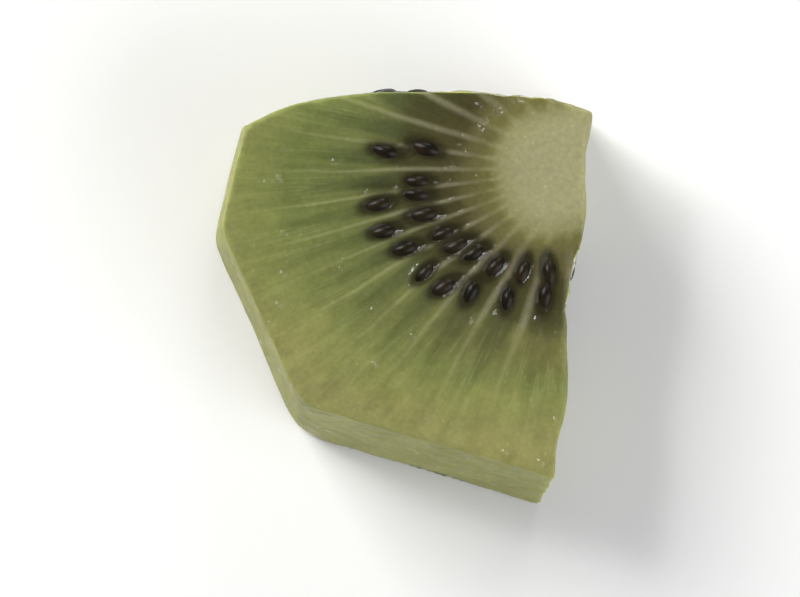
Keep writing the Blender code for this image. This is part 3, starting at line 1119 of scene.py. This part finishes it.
grain = node(tree, "ShaderNodeTexVoronoi", {"Vector": turned, "Scale": GRAIN_SCALE}, feature="SMOOTH_F1")
cells = grain.outputs["Distance"]
off_dot, chosen = strewn(tree, turned, DOT_SCALE, channel=0)
dot = product(tree, step_between(tree, *DOT_SIZE, off_dot), step_between(tree, *DOTS_CHOSEN, chosen))
patches = centred(tree, speckle(tree, turned, scale=0.16, detail=2.0))
mottles = product(tree, centred(tree, speckle(tree, turned, scale=0.9, detail=3.0)), outside, in_flesh)
blade_marks = product(tree, streaks(tree, BLADE_MARKS, detail=3.0), peeled)
long_grain = product(tree, streaks(tree, LONG_GRAIN, detail=2.0), peeled)
lighter = layered(
    tree,
    1.0,
    (fibres, 0.52),
    (strands, 0.30),
    (calc(tree, "SUBTRACT", GRAIN_MIDDLE, cells), between(tree, peeled, 0.20, 0.05)),
    (blade_marks, 0.50),
    (long_grain, 0.16),
    (dot, 0.16),
    (patches, 0.40),
    (mottles, 0.36),
    (stored(tree, "edge"), 0.14),
)
grey = node(tree, "ShaderNodeCombineColor", {0: lighter, 1: lighter, 2: lighter}).outputs[0]
painted = blend(tree, 1.0, painted, grey, "MULTIPLY")
painted = blend(tree, product(tree, stored(tree, "stain"), STAIN_TINT), painted, STAINED)
tree.links.new(painted, surface.inputs["Base Color"])
print("flesh nodes:", len(tree.nodes))

# %% [markdown]
# The surface is wet. A film of juice lies over it, which could be a shell of its own, but a coat on the
# shader does the same and has no second skin to tear. All of the gloss is the coat's. It is thicker on the
# jelly and in some patches, and thinner on the core and on the peeled side. The bump under it is the same
# fibres and cells as in the colour.

# %% Bump and film of juice
FILM = 0.45
WETTER_PATCHES = (0.40, 0.62)

height = layered(tree, 0.0, (fibres, 0.6), (cells, between(tree, peeled, -0.5, -0.15)), (ray_line, 0.25))
tree.links.new(bumps(tree, height, strength=0.35, depth=0.12 * MM), surface.inputs["Normal"])
wetter = step_between(tree, *WETTER_PATCHES, speckle(tree, turned, scale=0.8, detail=2.0))
wetter = calc(tree, "MAXIMUM", between(tree, wetter, 0.5, 1.0), in_chamber)
film = layered(tree, FILM, (in_chamber, 0.25), (in_core, -0.20))
film = product(tree, film, wetter, between(tree, peeled, 1.0, 0.7))
print("nodes with the film:", len(tree.nodes))

# %% [markdown]
# Here and there the juice stands in small beads, in loose groups, mostly on the outer flesh and near the
# chunk's left corner. Each has a spot on its slope that faces a lamp, and that is what makes cut fruit
# sparkle. They could be small domes of mesh, but in the film's bump they cost nothing. They are points
# strewn through the solid, of which only those are kept whose number is high enough. The film's bump also
# has soft ripples and the marks of the blade.

# %% Beads of juice
BEAD_SCALE = 0.85
BEAD_SIZE = (0.34, 0.0)
BEADS_KEPT = (1.32, 1.38)
BEADY_CORNER = (-20.6, -1.2)
BEADY_REACH = (5.0, 1.0)
BEAD_FILM = (0.0, 0.20)

off_bead, chosen = strewn(tree, turned, BEAD_SCALE, channel=1)
off_corner = length_of(tree, *[calc(tree, "SUBTRACT", part, at) for part, at in zip(parts, BEADY_CORNER)])
likely = layered(
    tree,
    chosen,
    (speckle(tree, turned, scale=0.22, detail=1.0), 0.8),
    (outside, 0.14),
    (step_between(tree, *BEADY_REACH, off_corner), 0.30),
)
bead = product(tree, step_between(tree, *BEAD_SIZE, off_bead), step_between(tree, *BEADS_KEPT, likely))
film = calc(tree, "MAXIMUM", film, step_between(tree, *BEAD_FILM, bead))
tree.links.new(film, surface.inputs["Coat Weight"])
ripples = layered(tree, 0.0, (height, 0.35), (speckle(tree, turned, scale=1.4, detail=2.0), 0.55))
ripples = product(tree, ripples, between(tree, in_chamber, 1.0, 0.5))
ripples = layered(tree, ripples, (bead, 1.5), (blade_marks, 1.6))
tree.links.new(bumps(tree, ripples, strength=0.6, depth=0.20 * MM), surface.inputs["Coat Normal"])
print("nodes with the beads:", len(tree.nodes))

# %% [markdown]
# What is left is the same all over: how smooth the juice is, and how light sinks into the flesh, spreads by
# about a millimetre and comes out softer. Green goes furthest and blue least.

# %% Wet flesh
WET_FLESH = {
    "Coat Roughness": 0.12,
    "Coat IOR": 1.34,
    "Roughness": 0.50,
    "Specular IOR Level": 0.0,
    "Subsurface Weight": 0.55,
    "Subsurface Radius": (1.0, 1.2, 0.45),
    "Subsurface Scale": 1.1 * MM,
}
set_finish(surface, WET_FLESH)
cover(kiwi, flesh)
print("wet flesh is ready, materials on the chunk:", len(kiwi.data.materials))

# %% [markdown]
# ## The seed coat
#
# Seeds are nearly black with a breath of brown, and their coat is finely pitted under a wet shine. One
# plain black would make them look like holes. The brown comes in soft blotches, smaller than a seed, and
# the pits are a bump, far too small to model.

# %% Seed material
SEED_STOPS = ((0.3, (0.006, 0.005, 0.002)), (0.75, (0.020, 0.013, 0.006)))
BLOTCH_SCALE = 900.0
PIT_SCALE = 9000.0

coat, tree, surface = new_material("kiwi_seed")
here = node(tree, "ShaderNodeTexCoord").outputs["Object"]
blotches = speckle(tree, here, BLOTCH_SCALE, detail=3.0)
tree.links.new(ramp(tree, blotches, SEED_STOPS), surface.inputs["Base Color"])
pits = node(tree, "ShaderNodeTexVoronoi", {"Vector": here, "Scale": PIT_SCALE}).outputs["Distance"]
tree.links.new(bumps(tree, pits, strength=0.25, depth=0.03 * MM), surface.inputs["Normal"])
set_finish(surface, {"Roughness": 0.30, "Specular IOR Level": 0.25, "IOR": 1.38})
cover(seeds, coat)
print("nodes for the seed coat:", len(tree.nodes))

# %% [markdown]
# ## Floor
#
# The chunk lies on a plain pale floor, which is there for its shadow and for the light it throws back on
# the sides. It belongs to the picture and not to the object, so it is only staged.

# %% Floor
PALE = {"Base Color": (0.86, 0.86, 0.855, 1.0), "Roughness": 0.75}

bpy.ops.object.select_all(action="DESELECT")
bpy.ops.mesh.primitive_plane_add(size=1.6, location=(0, 0, 0))
floor = bpy.context.object
floor.name = "floor"
pale, tree, surface = new_material("pale_floor")
set_finish(surface, PALE)
cover(floor, pale)
print("floor, metres:", [round(size, 2) for size in floor.dimensions])

# %% [markdown]
# ## Light
#
# The main light is large and soft and comes from the upper left, well away from straight above, so that
# the wet top face mirrors none of it into the camera and only its small slopes glint. A larger one opposite
# fills the shadows, and a third, low above the picture's upper side, lights the rim there. The fourth is
# small and weak: the beads of juice mirror it as sharp points. The sky is a soft grey, darkest overhead,
# because that is the part of it that the top face mirrors.

# %% Lights and sky
CENTRE = Vector((0.0, 0.0, 0.010))
WHITE = (1.0, 1.0, 1.0)
WARM = (1.0, 0.985, 0.95)
COOL = (0.96, 0.98, 1.0)
SKY_STOPS = ((0.0, (0.62, 0.62, 0.62)), (0.30, (0.30, 0.305, 0.31)), (0.8, (0.16, 0.16, 0.165)))


def soft_light(name, direction, distance, size, power, tint):
    """A square soft light that faces the chunk from a direction, in metres and watts."""
    place = CENTRE + Vector(direction).normalized() * distance
    bpy.ops.object.light_add(type="AREA", location=place)
    light = bpy.context.object
    light.name = name
    light.rotation_euler = (CENTRE - place).to_track_quat("-Z", "Y").to_euler()
    light.data.size = size
    light.data.energy = power
    light.data.color = tint
    return light


lights = (
    soft_light("key", (-0.75, 0.75, 0.95), distance=0.50, size=0.26, power=2.1, tint=WARM),
    soft_light("fill", (0.9, -0.6, 0.75), distance=0.55, size=0.50, power=2.1, tint=COOL),
    soft_light("rim", (0.2, 1.0, 0.45), distance=0.50, size=0.20, power=0.6, tint=WHITE),
    soft_light("sparkle", (-0.45, 0.40, 1.0), distance=0.50, size=0.06, power=0.40, tint=WHITE),
)
world = bpy.data.worlds.new("studio")
bpy.context.scene.world = world
world.use_nodes = True
tree = world.node_tree
direction = node(tree, "ShaderNodeTexCoord").outputs["Generated"]
upwards = node(tree, "ShaderNodeSeparateXYZ", {0: direction}).outputs[2]
tree.links.new(ramp(tree, upwards, SKY_STOPS), tree.nodes["Background"].inputs["Color"])
print("lights:", [light.name for light in lights])

# %% [markdown]
# ## Camera
#
# The camera looks straight down through a long lens, as in the photograph. A short lens would have to hang
# close by, and would see the sides as well. The standard view keeps the colours as they were set.

# %% Camera
VIEW_FROM = 0.40
LONG_LENS = 250
SENSOR_WIDTH = 36

bpy.ops.object.camera_add(location=(0.0, 0.0, VIEW_FROM), rotation=(0, 0, 0))
camera = bpy.context.object
camera.data.lens = LONG_LENS
camera.data.sensor_width = SENSOR_WIDTH
bpy.context.scene.camera = camera
bpy.context.scene.view_settings.view_transform = "Standard"
print("camera height, m:", VIEW_FROM)

# %% [markdown]
# ## Hand over
#
# The chunk and its seeds ride on the model's only body and take the place of its plain solids.

# %% Hand over
for thing in (kiwi, seeds):
    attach(thing, "root")
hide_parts("flesh", "core")
